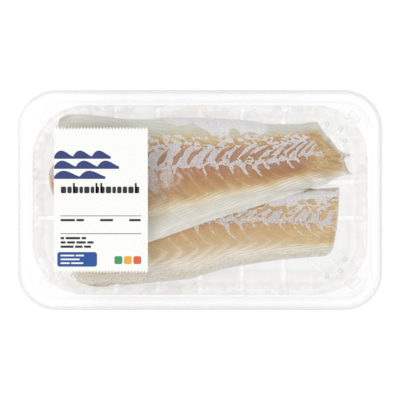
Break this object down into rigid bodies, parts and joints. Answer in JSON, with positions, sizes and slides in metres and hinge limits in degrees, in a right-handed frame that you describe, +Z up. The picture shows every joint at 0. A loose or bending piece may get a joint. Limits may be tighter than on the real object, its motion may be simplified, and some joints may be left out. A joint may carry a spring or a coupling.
{
  "type": "cod fillet tray pack",
  "caption": "Shallow clear rectangular food tray, sealed with clear lid film and a paper label, holding skinless white fish fillets laid one over the other.",
  "frame": {"origin": "middle of the footprint, on the surface that the tray stands on", "axes": "+X along the tray, away from the label; +Y across the tray, towards the fillet that lies on top; +Z up"},
  "size_m": [0.24, 0.145, 0.04],
  "materials": {
    "tray_sheet": "clear thermoformed plastic sheet, glossy",
    "lid_film": "clear thin plastic film, glossy",
    "label_paper": "off-white printed paper, matt",
    "cod_flesh": "wet fish flesh, tan to white with silvery skin membrane; leather stands in for flesh"
  },
  "bodies": {
    "root": {"tray": "tray_sheet", "fillet_lower": "cod_flesh", "fillet_upper": "cod_flesh", "film": "lid_film", "label": "label_paper"}
  },
  "joints": []
}
